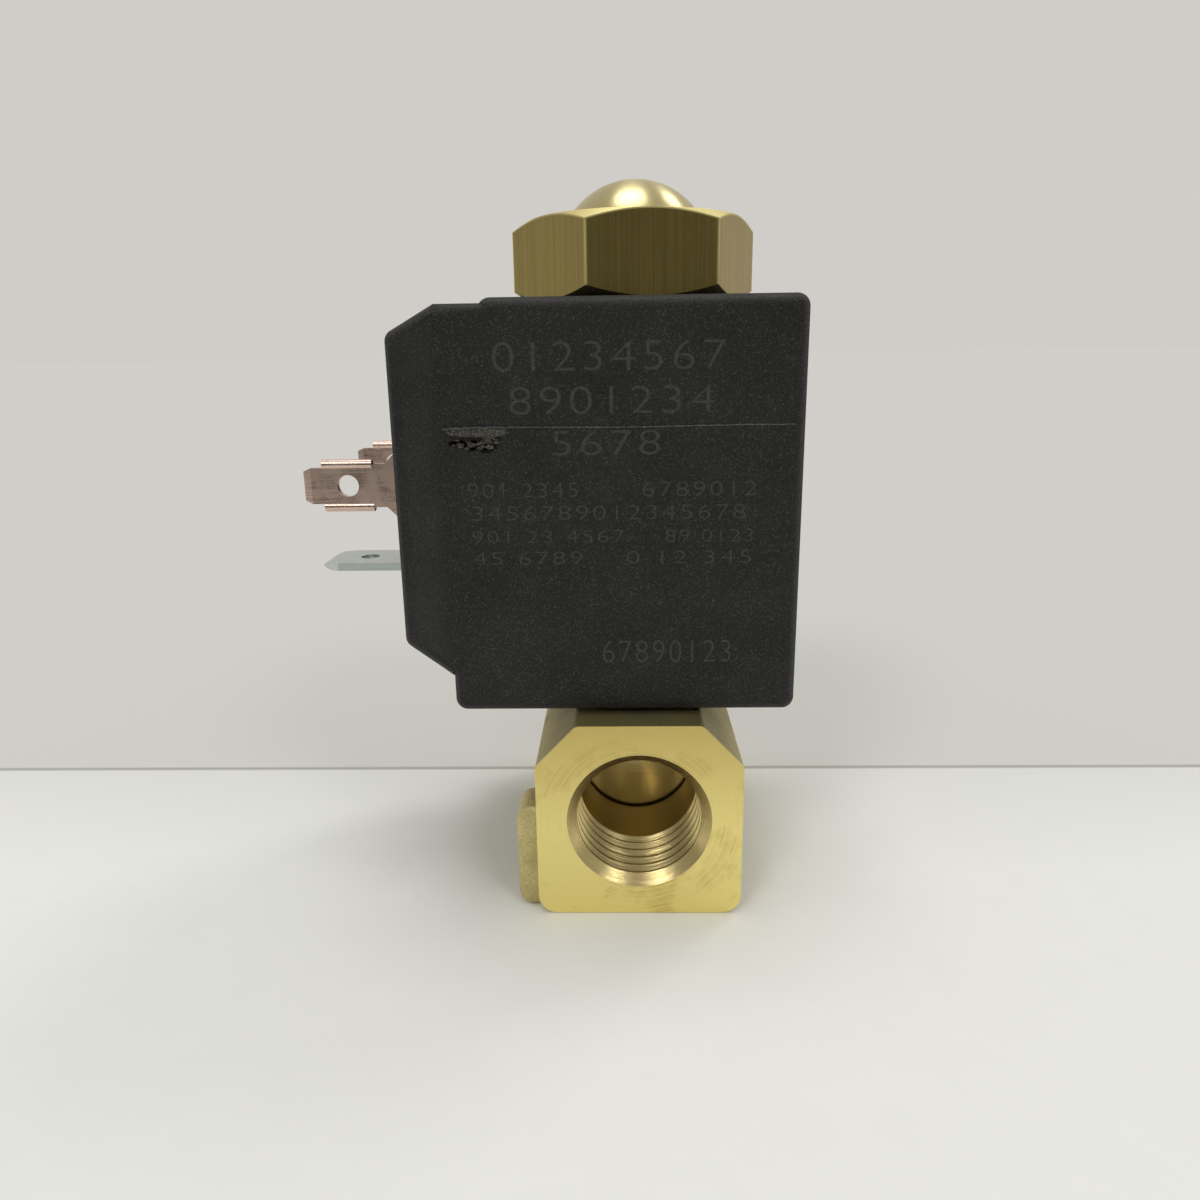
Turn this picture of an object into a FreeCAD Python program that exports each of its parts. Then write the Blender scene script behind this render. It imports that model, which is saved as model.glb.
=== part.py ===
import FreeCAD, Part
import math
import os

# Direct acting two way solenoid valve: brass body with two G1/4 ports along Y, encapsulated coil
# that turns on the armature tube, held down by a cap nut. Millimetres, Z up, the tube on the Z axis
# and the underside of the body at Z = 0.

os.makedirs("parts", exist_ok=True)
V = FreeCAD.Vector

# Clearances
SEAT_GAP = 0.05
COIL_CLEARANCE = 0.30
PLUNGER_CLEARANCE = 0.09
AIR_GAP = 0.15

# Forged body, arms and hub
BODY_LENGTH = 34.0
ARM_WIDTH = 19.0
ARM_HEIGHT = 19.0
ARM_CHAMFER_WIDTH = 3.8
ARM_CHAMFER_DROP = 4.0
ARM_TOP_ROUND = 0.7
ARM_FOOT_ROUND = 1.8
HUB_BASE = 3.0
HUB_WALL = 0.4
HUB_SHOULDER_HEIGHT = 9.0
HUB_SHOULDER_BULGE = 0.35
HUB_SHOULDER_DROP = 3.5
PAD_THICKNESS = 2.0
PAD_HEIGHT = 10.3
PAD_LENGTH = 4.4
PAD_SET_BACK = 1.3
PAD_ROUND = 1.4
PAD_RIM_ROUND = 0.45

# G1/4 ports
PORT_HEIGHT = 9.5
PORT_MAJOR_RADIUS = 6.58
PORT_CREST_RADIUS = 5.8
PORT_MOUTH_RADIUS = 6.68
PORT_PITCH = 1.337
PORT_THREADS = 5
PORT_CREST_FLAT = 0.22
PORT_ROOT_FLAT = 0.2
PORT_DEPTH = 14.2

# Valve chamber and seat
ROOF_WALL = 1.7
CHAMBER_STEP = 0.4
CHAMBER_DEPTH = 2.0
SEAT_HEIGHT = 1.0
SEAT_LIP_WIDTH = 0.5
SEAT_FOOT_WIDTH = 1.1
ORIFICE_RADIUS = 1.5
FEED_RADIUS = 1.5
FEED_OFFSET = 4.6
CROSS_RADIUS = 1.75

# Turret, threaded tube base and its O-ring
TURRET_WALL = 2.0
TUBE_BASE_WALL = 1.25
TUBE_BASE_THREAD = 4.0
FLANGE_WIDTH = 1.5
FLANGE_HEIGHT = 2.0
FLANGE_SLOT_WIDTH = 2.0
FLANGE_SLOT_DEPTH = 1.2
BODY_RING_RADIUS = 0.45
BODY_RING_STEP = 1.1
BODY_RING_DEPTH = 1.1

# Armature tube, fixed core and stud
PLUNGER_RADIUS = 5.0
TUBE_WALL = 0.61
CORE_SHOULDER = 0.9
STUD_RADIUS = 5.0
STUD_LENGTH = 6.9
STUD_CHAMFER = 0.7
SHADING_INNER_RADIUS = 3.3
SHADING_OUTER_RADIUS = 4.1
SHADING_HEIGHT = 1.4

# Plunger with its rubber seal and spring
STROKE = 1.4
PLUNGER_LENGTH = 23.0
SEAL_RADIUS = 3.0
SEAL_HEIGHT = 3.0
SEAL_PROUD = 0.3
SEAL_LIP = 0.5
SPRING_POCKET_RADIUS = 2.7
SPRING_POCKET_DEPTH = 10.0
SPRING_MEAN_RADIUS = 2.2
SPRING_WIRE_RADIUS = 0.3
SPRING_PITCH = 1.5
FLUTE_WIDTH = 1.6
FLUTE_DEPTH = 0.7

# Coil: seat, yoke, bobbin and winding
GASKET_THICKNESS = 0.5
GASKET_WIDTH = 2.0
GASKET_CLEARANCE = 0.1
YOKE_THICKNESS = 2.0
YOKE_MARGIN = 0.55
YOKE_REACH = 10.5
YOKE_BEND = 2.4
YOKE_LEG_GAP = 0.95
SLEEVE_WALL = 0.9
LOWER_SLEEVE_LENGTH = 7.5
UPPER_SLEEVE_LENGTH = 9.5
BOBBIN_HEIGHT = 24.0
BOBBIN_WALL = 0.9
BOBBIN_FLANGE = 1.2
WINDING_THICKNESS = 3.1
TAPE_THICKNESS = 0.3
BOBBIN_RIM = 0.25

# Coil overmould and terminal block
COIL_GAP_TO_ARMS = 0.3
COIL_WALL = 2.75
COIL_TOP_SKIN = 2.3
COIL_LEG_COVER = 2.5
COIL_EDGE_ROUND = 1.1
BLOCK_REACH = 4.75
BLOCK_SIDE_BEVEL = 2.2
BLOCK_TOP_BEVEL = 2.3
BLOCK_FOOT_BEVEL = 2.45
BLOCK_TOP_STEP = 0.45
BLOCK_SHELF_LENGTH = 3.6
BLOCK_FOOT_STEP = 3.4

# Terminals and the insert for the plug's screw
LINE_SPACING = 18.0
LINE_BELOW_TOP = 16.1
LINE_REACH = 9.0
LINE_NOSE_WIDTH = 3.3
LINE_TIP_WIDTH = 2.7
LINE_SHEET = 0.6
LINE_WING_START = 1.8
LINE_WING_LENGTH = 4.6
LINE_WING_RADIUS = 0.45
LINE_WIDTH = 4.8
LINE_ROLL_HOLE = 0.17
LINE_NECK_WIDTH = 4.0
LINE_ROOT_WIDTH = 6.8
LINE_ROOT_RADIUS = 1.4
LINE_TAIL = 3.0
LINE_HOLE_RADIUS = 1.0
LINE_HOLE_SETBACK = 4.1
TIP_BEVEL = 0.7
TIP_THICKNESS = 0.25
EARTH_BELOW_TOP = 24.8
EARTH_REACH = 10.2
EARTH_WIDTH = 6.3
EARTH_SHEET = 0.8
EARTH_TIP_WIDTH = 4.4
EARTH_NOSE = 1.7
EARTH_HOLE_RADIUS = 0.95
EARTH_HOLE_SETBACK = 4.2
EARTH_TAB_HEIGHT = 6.0
EARTH_BEND = 0.7
RIVET_RADIUS = 1.1
RIVET_HEAD_RADIUS = 1.9
RIVET_HEAD = 0.7
LEAD_RADIUS = 0.4
LEAD_TO_YOKE = 1.1
INSERT_RADIUS = 2.3
INSERT_LENGTH = 5.6
INSERT_HOLE_RADIUS = 1.25
INSERT_HOLE_DEPTH = 5.0
INSERT_GROOVE = 0.4

# Cap nut, spring washer and top O-ring
NUT_ACROSS_FLATS = 20.0
NUT_HEIGHT = 7.1
NUT_TURN = 8.0
NUT_CHAMFER_ANGLE = 30.0
NUT_GAP = 0.15
DOME_RADIUS = 7.5
DOME_HEIGHT = 3.7
NUT_RECESS_DEPTH = 1.15
NUT_BORE_SPARE = 0.7
WASHER_WIDTH = 1.05
WASHER_CLEARANCE = 0.25
WASHER_SHEET = 0.4
WASHER_AIR = 0.02
NUT_RING_RADIUS = 0.6
NUT_RING_CLEARANCE = 0.1

# Levels and radii that follow
ROOF = PORT_HEIGHT + PORT_CREST_RADIUS
CHAMBER_FLOOR = ROOF + ROOF_WALL
SEAT_TOP = CHAMBER_FLOOR + SEAT_HEIGHT
TUBE_BASE_FOOT = CHAMBER_FLOOR + CHAMBER_DEPTH
TURRET_TOP = TUBE_BASE_FOOT + TUBE_BASE_THREAD
FLANGE_TOP = TURRET_TOP + FLANGE_HEIGHT
COIL_SEAT = FLANGE_TOP + GASKET_THICKNESS
COIL_FOOT = ARM_HEIGHT + COIL_GAP_TO_ARMS
BOBBIN_FOOT = COIL_SEAT + YOKE_THICKNESS
BOBBIN_TOP = BOBBIN_FOOT + BOBBIN_HEIGHT
YOKE_TOP = BOBBIN_TOP + YOKE_THICKNESS
COIL_TOP = YOKE_TOP + COIL_TOP_SKIN

TUBE_INNER_RADIUS = PLUNGER_RADIUS + PLUNGER_CLEARANCE
TUBE_OUTER_RADIUS = TUBE_INNER_RADIUS + TUBE_WALL
TUBE_BASE_RADIUS = TUBE_OUTER_RADIUS + SEAT_GAP + TUBE_BASE_WALL
CHAMBER_RADIUS = TUBE_BASE_RADIUS - CHAMBER_STEP
FLANGE_RADIUS = TUBE_BASE_RADIUS + FLANGE_WIDTH
TURRET_RADIUS = TUBE_BASE_RADIUS + TURRET_WALL
HUB_RADIUS = TURRET_RADIUS + HUB_WALL
GASKET_OUTER_RADIUS = FLANGE_RADIUS - 2 * GASKET_CLEARANCE
GASKET_INNER_RADIUS = GASKET_OUTER_RADIUS - GASKET_WIDTH
WASHER_INNER_RADIUS = TUBE_OUTER_RADIUS + WASHER_CLEARANCE
WASHER_OUTER_RADIUS = WASHER_INNER_RADIUS + WASHER_WIDTH
NUT_RING_CENTRE = WASHER_OUTER_RADIUS + 2 * NUT_RING_CLEARANCE + NUT_RING_RADIUS
NUT_RECESS_RADIUS = NUT_RING_CENTRE + NUT_RING_RADIUS + NUT_RING_CLEARANCE
COIL_BORE = TUBE_OUTER_RADIUS + COIL_CLEARANCE
SLEEVE_RADIUS = COIL_BORE + SLEEVE_WALL
BOBBIN_BORE = SLEEVE_RADIUS + SEAT_GAP
YOKE_ARM_WIDTH = 2 * (SLEEVE_RADIUS + SEAT_GAP + YOKE_MARGIN)
YOKE_LEG_WIDTH = LINE_SPACING - 2 * (LEAD_RADIUS + LEAD_TO_YOKE)
WINDING_BORE = BOBBIN_BORE + BOBBIN_WALL
WINDING_RADIUS = WINDING_BORE + WINDING_THICKNESS
TAPE_RADIUS = WINDING_RADIUS + TAPE_THICKNESS
BOBBIN_RADIUS = TAPE_RADIUS + BOBBIN_RIM
CAVITY_RADIUS = BOBBIN_RADIUS + SEAT_GAP
COIL_HALF = CAVITY_RADIUS + COIL_WALL
LEG_INSIDE = -(BOBBIN_RADIUS + YOKE_LEG_GAP)
LEG_OUTSIDE = LEG_INSIDE - YOKE_THICKNESS
COIL_LEFT = LEG_OUTSIDE - COIL_LEG_COVER
BLOCK_FACE = COIL_LEFT - BLOCK_REACH

PLUNGER_FOOT = SEAT_TOP + SEAL_PROUD
PLUNGER_TOP = PLUNGER_FOOT + PLUNGER_LENGTH
CORE_FOOT = PLUNGER_TOP + STROKE + AIR_GAP
TUBE_TOP = COIL_TOP - COIL_CLEARANCE
STUD_FOOT = TUBE_TOP + CORE_SHOULDER
STUD_TOP = STUD_FOOT + STUD_LENGTH
NUT_FOOT = COIL_TOP + NUT_GAP
NUT_CEILING = NUT_FOOT + NUT_RECESS_DEPTH
NUT_TOP = NUT_FOOT + NUT_HEIGHT
LINE_HEIGHT = COIL_TOP - LINE_BELOW_TOP
EARTH_TOP = COIL_TOP - EARTH_BELOW_TOP


def cylinder(radius, low, high):
    return Part.makeCylinder(radius, high - low, V(0, 0, low))


def ring(inner, outer, low, high):
    return cylinder(outer, low, high).cut(cylinder(inner, low - 1, high + 1))


def box(x0, x1, y0, y1, z0, z1):
    return Part.makeBox(x1 - x0, y1 - y0, z1 - z0, V(x0, y0, z0))


def along(axis, radius, start, length):
    return Part.makeCylinder(radius, length, start, axis)


def prism(points, travel):
    outline = [V(*p) for p in points]
    return Part.Face(Part.makePolygon(outline + outline[:1])).extrude(travel)


def turned(points):
    """Solid of revolution about Z from (radius, height) points."""
    outline = [V(r, 0, z) for r, z in points]
    return Part.Face(Part.makePolygon(outline + outline[:1])).revolve(V(0, 0, 0), V(0, 0, 1), 360)


def fused(shapes):
    solid = shapes[0].fuse(shapes[1:])
    return solid.removeSplitter()


def edges_where(shape, test):
    return [e for e in shape.Edges if test(e)]


def runs_along(edge, axis):
    if not isinstance(edge.Curve, Part.Line):
        return False
    return abs(abs(edge.Curve.Direction.dot(axis)) - 1) < 1e-6


def save(shape, node):
    shape.exportStep("parts/" + node + ".step")


def arm():
    half = ARM_WIDTH / 2
    flat = half - ARM_CHAMFER_WIDTH
    knee = ARM_HEIGHT - ARM_CHAMFER_DROP
    front = -BODY_LENGTH / 2
    section = [(-half, 0), (half, 0), (half, knee), (flat, ARM_HEIGHT), (-flat, ARM_HEIGHT), (-half, knee)]
    solid = prism([(x, front, z) for x, z in section], V(0, BODY_LENGTH, 0))
    feet = edges_where(solid, lambda e: runs_along(e, V(0, 1, 0)) and e.CenterOfMass.z < 0.01)
    solid = solid.makeFillet(ARM_FOOT_ROUND, feet)
    knees = edges_where(solid, lambda e: runs_along(e, V(0, 1, 0)) and e.CenterOfMass.z > knee - 0.01)
    return solid.makeFillet(ARM_TOP_ROUND, knees)


def side_pad():
    """Flat forged pad on the left of the inlet arm, near its mouth."""
    inner = -ARM_WIDTH / 2
    outer = inner - PAD_THICKNESS
    front = -BODY_LENGTH / 2 + PAD_SET_BACK
    back = front + PAD_LENGTH
    solid = box(outer, inner + 1, front, back, 0, PAD_HEIGHT)
    long_edges = edges_where(solid, lambda e: runs_along(e, V(0, 1, 0)) and e.CenterOfMass.x < inner)
    solid = solid.makeFillet(PAD_ROUND, long_edges)
    rims = edges_where(solid, lambda e: e.CenterOfMass.x < inner - 0.1
                       and min(abs(e.CenterOfMass.y - front), abs(e.CenterOfMass.y - back)) < 0.01)
    return solid.makeFillet(PAD_RIM_ROUND, rims)


def hub():
    """Round hub between the arms, its shoulder curving in to the turret."""
    bend = ARM_HEIGHT - HUB_SHOULDER_HEIGHT
    shoulder_top = V(TURRET_RADIUS, 0, ARM_HEIGHT)
    bulge = V(TURRET_RADIUS + HUB_SHOULDER_BULGE, 0, ARM_HEIGHT - HUB_SHOULDER_DROP)
    rounded = Part.Arc(V(HUB_RADIUS, 0, bend), bulge, shoulder_top).toShape()
    below = Part.makePolygon([V(0, 0, HUB_BASE), V(HUB_RADIUS, 0, HUB_BASE), V(HUB_RADIUS, 0, bend)])
    above = Part.makePolygon([shoulder_top, V(TURRET_RADIUS, 0, TURRET_TOP), V(0, 0, TURRET_TOP), V(0, 0, HUB_BASE)])
    outline = Part.Wire(below.Edges + [rounded] + above.Edges)
    return Part.Face(outline).revolve(V(0, 0, 0), V(0, 0, 1), 360)


def port_bore():
    """Mouth chamfer, ring cut G thread and drilled bore, turned about Z and laid along Y."""
    points = [(0, 0), (PORT_MOUTH_RADIUS, 0)]
    depth = PORT_MOUTH_RADIUS - PORT_CREST_RADIUS
    points.append((PORT_CREST_RADIUS, depth))
    flank = (PORT_PITCH - PORT_CREST_FLAT - PORT_ROOT_FLAT) / 2
    for turn in range(PORT_THREADS):
        start = depth + PORT_CREST_FLAT + turn * PORT_PITCH
        points.append((PORT_CREST_RADIUS, start))
        points.append((PORT_MAJOR_RADIUS, start + flank))
        points.append((PORT_MAJOR_RADIUS, start + flank + PORT_ROOT_FLAT))
        points.append((PORT_CREST_RADIUS, start + PORT_PITCH - PORT_CREST_FLAT))
    points.append((PORT_CREST_RADIUS, PORT_DEPTH))
    points.append((0, PORT_DEPTH))
    bore = turned(points)
    bore.rotate(V(0, 0, 0), V(1, 0, 0), -90)
    bore.translate(V(0, -BODY_LENGTH / 2, PORT_HEIGHT))
    return bore


def chamber():
    """Everything bored from above: thread, O-ring step, chamber around the seat, orifice and feed."""
    thread_bore = cylinder(TUBE_BASE_RADIUS + SEAT_GAP, TUBE_BASE_FOOT, TURRET_TOP + 1)
    ring_step = cylinder(TUBE_BASE_RADIUS + BODY_RING_STEP, TURRET_TOP - BODY_RING_DEPTH, TURRET_TOP + 1)
    pool = cylinder(CHAMBER_RADIUS, CHAMBER_FLOOR, TUBE_BASE_FOOT)
    lip = ORIFICE_RADIUS + SEAT_LIP_WIDTH
    foot = ORIFICE_RADIUS + SEAT_FOOT_WIDTH
    seat = turned([(0, CHAMBER_FLOOR), (foot, CHAMBER_FLOOR), (lip, SEAT_TOP), (0, SEAT_TOP)])
    orifice = cylinder(ORIFICE_RADIUS, PORT_HEIGHT, SEAT_TOP + 1)
    feed = Part.makeCylinder(FEED_RADIUS, CHAMBER_FLOOR + SEAT_GAP - PORT_HEIGHT, V(0, -FEED_OFFSET, PORT_HEIGHT))
    outlet_floor = BODY_LENGTH / 2 - PORT_DEPTH
    cross = along(V(0, 1, 0), CROSS_RADIUS, V(0, -ORIFICE_RADIUS, PORT_HEIGHT), ORIFICE_RADIUS + outlet_floor + 1)
    return fused([pool.cut(seat), thread_bore, ring_step, orifice, feed, cross])


def valve_body():
    forging = fused([arm(), side_pad(), hub()])
    inlet = port_bore()
    outlet = inlet.copy()
    outlet.rotate(V(0, 0, 0), V(0, 0, 1), 180)
    return forging.cut([inlet, outlet, chamber()])


def tube_base():
    sleeve = ring(TUBE_OUTER_RADIUS + SEAT_GAP, TUBE_BASE_RADIUS, TUBE_BASE_FOOT, TURRET_TOP)
    flange = ring(TUBE_OUTER_RADIUS + SEAT_GAP, FLANGE_RADIUS, TURRET_TOP, FLANGE_TOP)
    solid = fused([sleeve, flange])
    reach = FLANGE_RADIUS + 1
    half = FLANGE_SLOT_WIDTH / 2
    key = FLANGE_RADIUS - FLANGE_SLOT_DEPTH
    for quarter in range(4):
        slot = box(key, reach, -half, half, TURRET_TOP - 0.01, FLANGE_TOP + 1)
        slot.rotate(V(0, 0, 0), V(0, 0, 1), 90 * quarter + 45)
        solid = solid.cut(slot)
    return solid


def body_o_ring():
    middle = TUBE_BASE_RADIUS + BODY_RING_STEP / 2
    height = TURRET_TOP - BODY_RING_DEPTH / 2
    return Part.makeTorus(middle, BODY_RING_RADIUS, V(0, 0, height))


def armature_tube():
    return ring(TUBE_INNER_RADIUS, TUBE_OUTER_RADIUS, TUBE_BASE_FOOT, TUBE_TOP)


def fixed_core():
    """Core pressed into the tube, with a shoulder on the tube's rim and the stud for the cap nut."""
    core = TUBE_INNER_RADIUS - SEAT_GAP
    end = STUD_RADIUS - STUD_CHAMFER
    solid = turned([(0, CORE_FOOT), (core, CORE_FOOT), (core, TUBE_TOP), (TUBE_OUTER_RADIUS, TUBE_TOP),
                    (TUBE_OUTER_RADIUS, STUD_FOOT), (STUD_RADIUS, STUD_FOOT),
                    (STUD_RADIUS, STUD_TOP - STUD_CHAMFER), (end, STUD_TOP), (0, STUD_TOP)])
    groove = ring(SHADING_INNER_RADIUS, SHADING_OUTER_RADIUS, CORE_FOOT - 1, CORE_FOOT + SHADING_HEIGHT)
    return solid.cut(groove)


def shading_ring():
    inner = SHADING_INNER_RADIUS + SEAT_GAP
    outer = SHADING_OUTER_RADIUS - SEAT_GAP
    return ring(inner, outer, CORE_FOOT, CORE_FOOT + SHADING_HEIGHT)


def plunger():
    solid = cylinder(PLUNGER_RADIUS, PLUNGER_FOOT, PLUNGER_TOP)
    seal_pocket = cylinder(SEAL_RADIUS + SEAT_GAP, PLUNGER_FOOT + SEAL_LIP, SEAT_TOP + SEAL_HEIGHT)
    seal_mouth = cylinder(SEAL_RADIUS - SEAL_LIP + SEAT_GAP, PLUNGER_FOOT - 1, PLUNGER_FOOT + SEAL_LIP)
    spring_pocket = cylinder(SPRING_POCKET_RADIUS, PLUNGER_TOP - SPRING_POCKET_DEPTH, PLUNGER_TOP + 1)
    cuts = [seal_pocket, seal_mouth, spring_pocket]
    floor = PLUNGER_RADIUS - FLUTE_DEPTH
    half = FLUTE_WIDTH / 2
    for side in (0, 180):
        flute = box(floor, PLUNGER_RADIUS + 1, -half, half, PLUNGER_FOOT - 1, PLUNGER_TOP + 1)
        flute.rotate(V(0, 0, 0), V(0, 0, 1), side)
        cuts.append(flute)
    return solid.cut(cuts)


def plunger_seal():
    mouth = SEAL_RADIUS - SEAL_LIP
    ledge = PLUNGER_FOOT + SEAL_LIP
    top = SEAT_TOP + SEAL_HEIGHT
    return turned([(0, SEAT_TOP), (mouth, SEAT_TOP), (mouth, ledge), (SEAL_RADIUS, ledge), (SEAL_RADIUS, top), (0, top)])


def return_spring():
    """Round wire spring between the plunger's pocket and the face of the fixed core."""
    low = PLUNGER_TOP - SPRING_POCKET_DEPTH + SPRING_WIRE_RADIUS + SEAT_GAP
    high = CORE_FOOT - SPRING_WIRE_RADIUS - SEAT_GAP
    path = Part.makeHelix(SPRING_PITCH, high - low, SPRING_MEAN_RADIUS)
    path.translate(V(0, 0, low))
    wire = Part.Wire(Part.makeCircle(SPRING_WIRE_RADIUS, V(SPRING_MEAN_RADIUS, 0, low), V(0, 1, 0)))
    return Part.Wire(path.Edges).makePipeShell([wire], True, True)


def coil_gasket():
    return ring(GASKET_INNER_RADIUS, GASKET_OUTER_RADIUS, FLANGE_TOP, COIL_SEAT)


def yoke_frame():
    """Steel strip bent to a C, holed at both arms for the pole sleeves."""
    half = YOKE_ARM_WIDTH / 2
    solid = box(LEG_OUTSIDE, YOKE_REACH, -half, half, COIL_SEAT, YOKE_TOP)
    bends = edges_where(solid, lambda e: runs_along(e, V(0, 1, 0)) and e.CenterOfMass.x < LEG_INSIDE)
    solid = solid.makeFillet(YOKE_BEND, bends)
    inside = box(LEG_INSIDE, YOKE_REACH + 1, -half - 1, half + 1, BOBBIN_FOOT, BOBBIN_TOP)
    holes = cylinder(SLEEVE_RADIUS + SEAT_GAP, COIL_SEAT - 1, YOKE_TOP + 1)
    rivet_hole = along(V(1, 0, 0), RIVET_RADIUS + SEAT_GAP, V(LEG_OUTSIDE - 1, 0, rivet_height()), YOKE_THICKNESS + 2)
    solid = solid.cut([inside, holes, rivet_hole])
    leg = YOKE_LEG_WIDTH / 2
    left_side = box(LEG_OUTSIDE - 1, LEG_INSIDE, -leg - half, -leg, COIL_SEAT - 1, YOKE_TOP + 1)
    right_side = box(LEG_OUTSIDE - 1, LEG_INSIDE, leg, leg + half, COIL_SEAT - 1, YOKE_TOP + 1)
    return solid.cut([left_side, right_side])


def lower_sleeve():
    return ring(COIL_BORE, SLEEVE_RADIUS, COIL_SEAT, COIL_SEAT + LOWER_SLEEVE_LENGTH)


def upper_sleeve():
    return ring(COIL_BORE, SLEEVE_RADIUS, YOKE_TOP - UPPER_SLEEVE_LENGTH, YOKE_TOP)


def bobbin():
    tube = ring(BOBBIN_BORE, WINDING_BORE, BOBBIN_FOOT, BOBBIN_TOP)
    lower = ring(BOBBIN_BORE, BOBBIN_RADIUS, BOBBIN_FOOT, BOBBIN_FOOT + BOBBIN_FLANGE)
    upper = ring(BOBBIN_BORE, BOBBIN_RADIUS, BOBBIN_TOP - BOBBIN_FLANGE, BOBBIN_TOP)
    return fused([tube, lower, upper])


def winding():
    return ring(WINDING_BORE, WINDING_RADIUS, BOBBIN_FOOT + BOBBIN_FLANGE, BOBBIN_TOP - BOBBIN_FLANGE)


def winding_tape():
    return ring(WINDING_RADIUS, TAPE_RADIUS, BOBBIN_FOOT + BOBBIN_FLANGE, BOBBIN_TOP - BOBBIN_FLANGE)


def line_terminal(side):
    """Upright blade with two rolled wings; side is -1 for the front one and 1 for the rear one."""
    tip = BLOCK_FACE - LINE_REACH
    tail = BLOCK_FACE + LINE_TAIL
    middle = side * LINE_SPACING / 2
    nose = LINE_NOSE_WIDTH / 2
    neck = LINE_NECK_WIDTH / 2
    root = LINE_ROOT_WIDTH / 2
    flare = BLOCK_FACE - LINE_ROOT_RADIUS
    upper = [(tip, LINE_TIP_WIDTH / 2), (tip + TIP_BEVEL, nose), (tip + LINE_WING_START, nose),
             (tip + LINE_WING_START, neck), (flare, neck), (BLOCK_FACE, root),
             (tail - LINE_ROOT_RADIUS, root), (tail, neck)]
    lower = [(x, -z) for x, z in reversed(upper)]
    sheet = prism([(x, middle - LINE_SHEET / 2, LINE_HEIGHT + z) for x, z in upper + lower], V(0, LINE_SHEET, 0))
    half = LINE_SHEET / 2
    thin = TIP_THICKNESS / 2
    plan = [(tip, -thin), (tip + TIP_BEVEL, -half), (tail + 1, -half), (tail + 1, half), (tip + TIP_BEVEL, half), (tip, thin)]
    bevelled = prism([(x, middle + y, LINE_HEIGHT - root - 1) for x, y in plan], V(0, 0, LINE_ROOT_WIDTH + 2))
    solid = sheet.common(bevelled)
    start = tip + LINE_WING_START
    for up in (-1, 1):
        height = LINE_HEIGHT + up * (LINE_WIDTH / 2 - LINE_WING_RADIUS)
        roll = along(V(1, 0, 0), LINE_WING_RADIUS, V(start, middle, height), LINE_WING_LENGTH)
        solid = solid.fuse(roll)
    for up in (-1, 1):
        height = LINE_HEIGHT + up * (LINE_WIDTH / 2 - LINE_WING_RADIUS)
        solid = solid.cut(along(V(1, 0, 0), LINE_ROLL_HOLE, V(start - 1, middle, height), LINE_WING_LENGTH + 2))
    hole = along(V(0, 1, 0), LINE_HOLE_RADIUS, V(tip + LINE_HOLE_SETBACK, middle - 2, LINE_HEIGHT), 4)
    return solid.cut(hole)


def rivet_height():
    return EARTH_TOP + EARTH_TAB_HEIGHT - RIVET_HEAD_RADIUS - 0.3


def earth_terminal():
    """Flat blade with a tab bent up against the yoke's leg and riveted to it."""
    tip = BLOCK_FACE - EARTH_REACH
    half = EARTH_WIDTH / 2
    low = EARTH_TOP - EARTH_SHEET
    plan = [(tip, -EARTH_TIP_WIDTH / 2), (tip + EARTH_NOSE, -half), (LEG_OUTSIDE, -half),
            (LEG_OUTSIDE, half), (tip + EARTH_NOSE, half), (tip, EARTH_TIP_WIDTH / 2)]
    blade = prism([(x, y, low) for x, y in plan], V(0, 0, EARTH_SHEET))
    mid = EARTH_TOP - EARTH_SHEET / 2
    thin = TIP_THICKNESS / 2
    side = [(tip, mid - thin), (tip + TIP_BEVEL, low), (LEG_OUTSIDE, low), (LEG_OUTSIDE, EARTH_TOP),
            (tip + TIP_BEVEL, EARTH_TOP), (tip, mid + thin)]
    blade = blade.common(prism([(x, -half - 1, z) for x, z in side], V(0, EARTH_WIDTH + 2, 0)))
    tab = box(LEG_OUTSIDE - EARTH_SHEET, LEG_OUTSIDE, -half, half, low, EARTH_TOP + EARTH_TAB_HEIGHT)
    solid = fused([blade, tab])
    outer = edges_where(solid, lambda e: runs_along(e, V(0, 1, 0)) and e.CenterOfMass.x > LEG_OUTSIDE - 0.01
                        and e.CenterOfMass.z < low + 0.01)
    solid = solid.makeFillet(EARTH_BEND, outer)
    hole = along(V(0, 0, 1), EARTH_HOLE_RADIUS, V(tip + EARTH_HOLE_SETBACK, 0, low - 1), EARTH_SHEET + 2)
    rivet_hole = along(V(1, 0, 0), RIVET_RADIUS + SEAT_GAP, V(LEG_OUTSIDE - 2, 0, rivet_height()), 3)
    return solid.cut([hole, rivet_hole])


def earth_rivet():
    """Rivet through the earth tab and the leg, with a head on each side."""
    outside = LEG_OUTSIDE - EARTH_SHEET
    inside = LEG_INSIDE
    shank = along(V(1, 0, 0), RIVET_RADIUS, V(outside, 0, rivet_height()), inside - outside)
    head = along(V(1, 0, 0), RIVET_HEAD_RADIUS, V(outside - RIVET_HEAD, 0, rivet_height()), RIVET_HEAD)
    upset = along(V(1, 0, 0), RIVET_HEAD_RADIUS, V(inside, 0, rivet_height()), RIVET_HEAD)
    return fused([head, shank, upset])


def lead_wire(side):
    """Lead from the winding's tape to the tail of a line terminal."""
    start = BLOCK_FACE + LINE_TAIL
    offset = LINE_SPACING / 2
    touch = -math.sqrt((TAPE_RADIUS + SEAT_GAP) ** 2 - (offset - LEAD_RADIUS) ** 2)
    return along(V(1, 0, 0), LEAD_RADIUS, V(start, side * offset, LINE_HEIGHT), touch - start)


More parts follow.
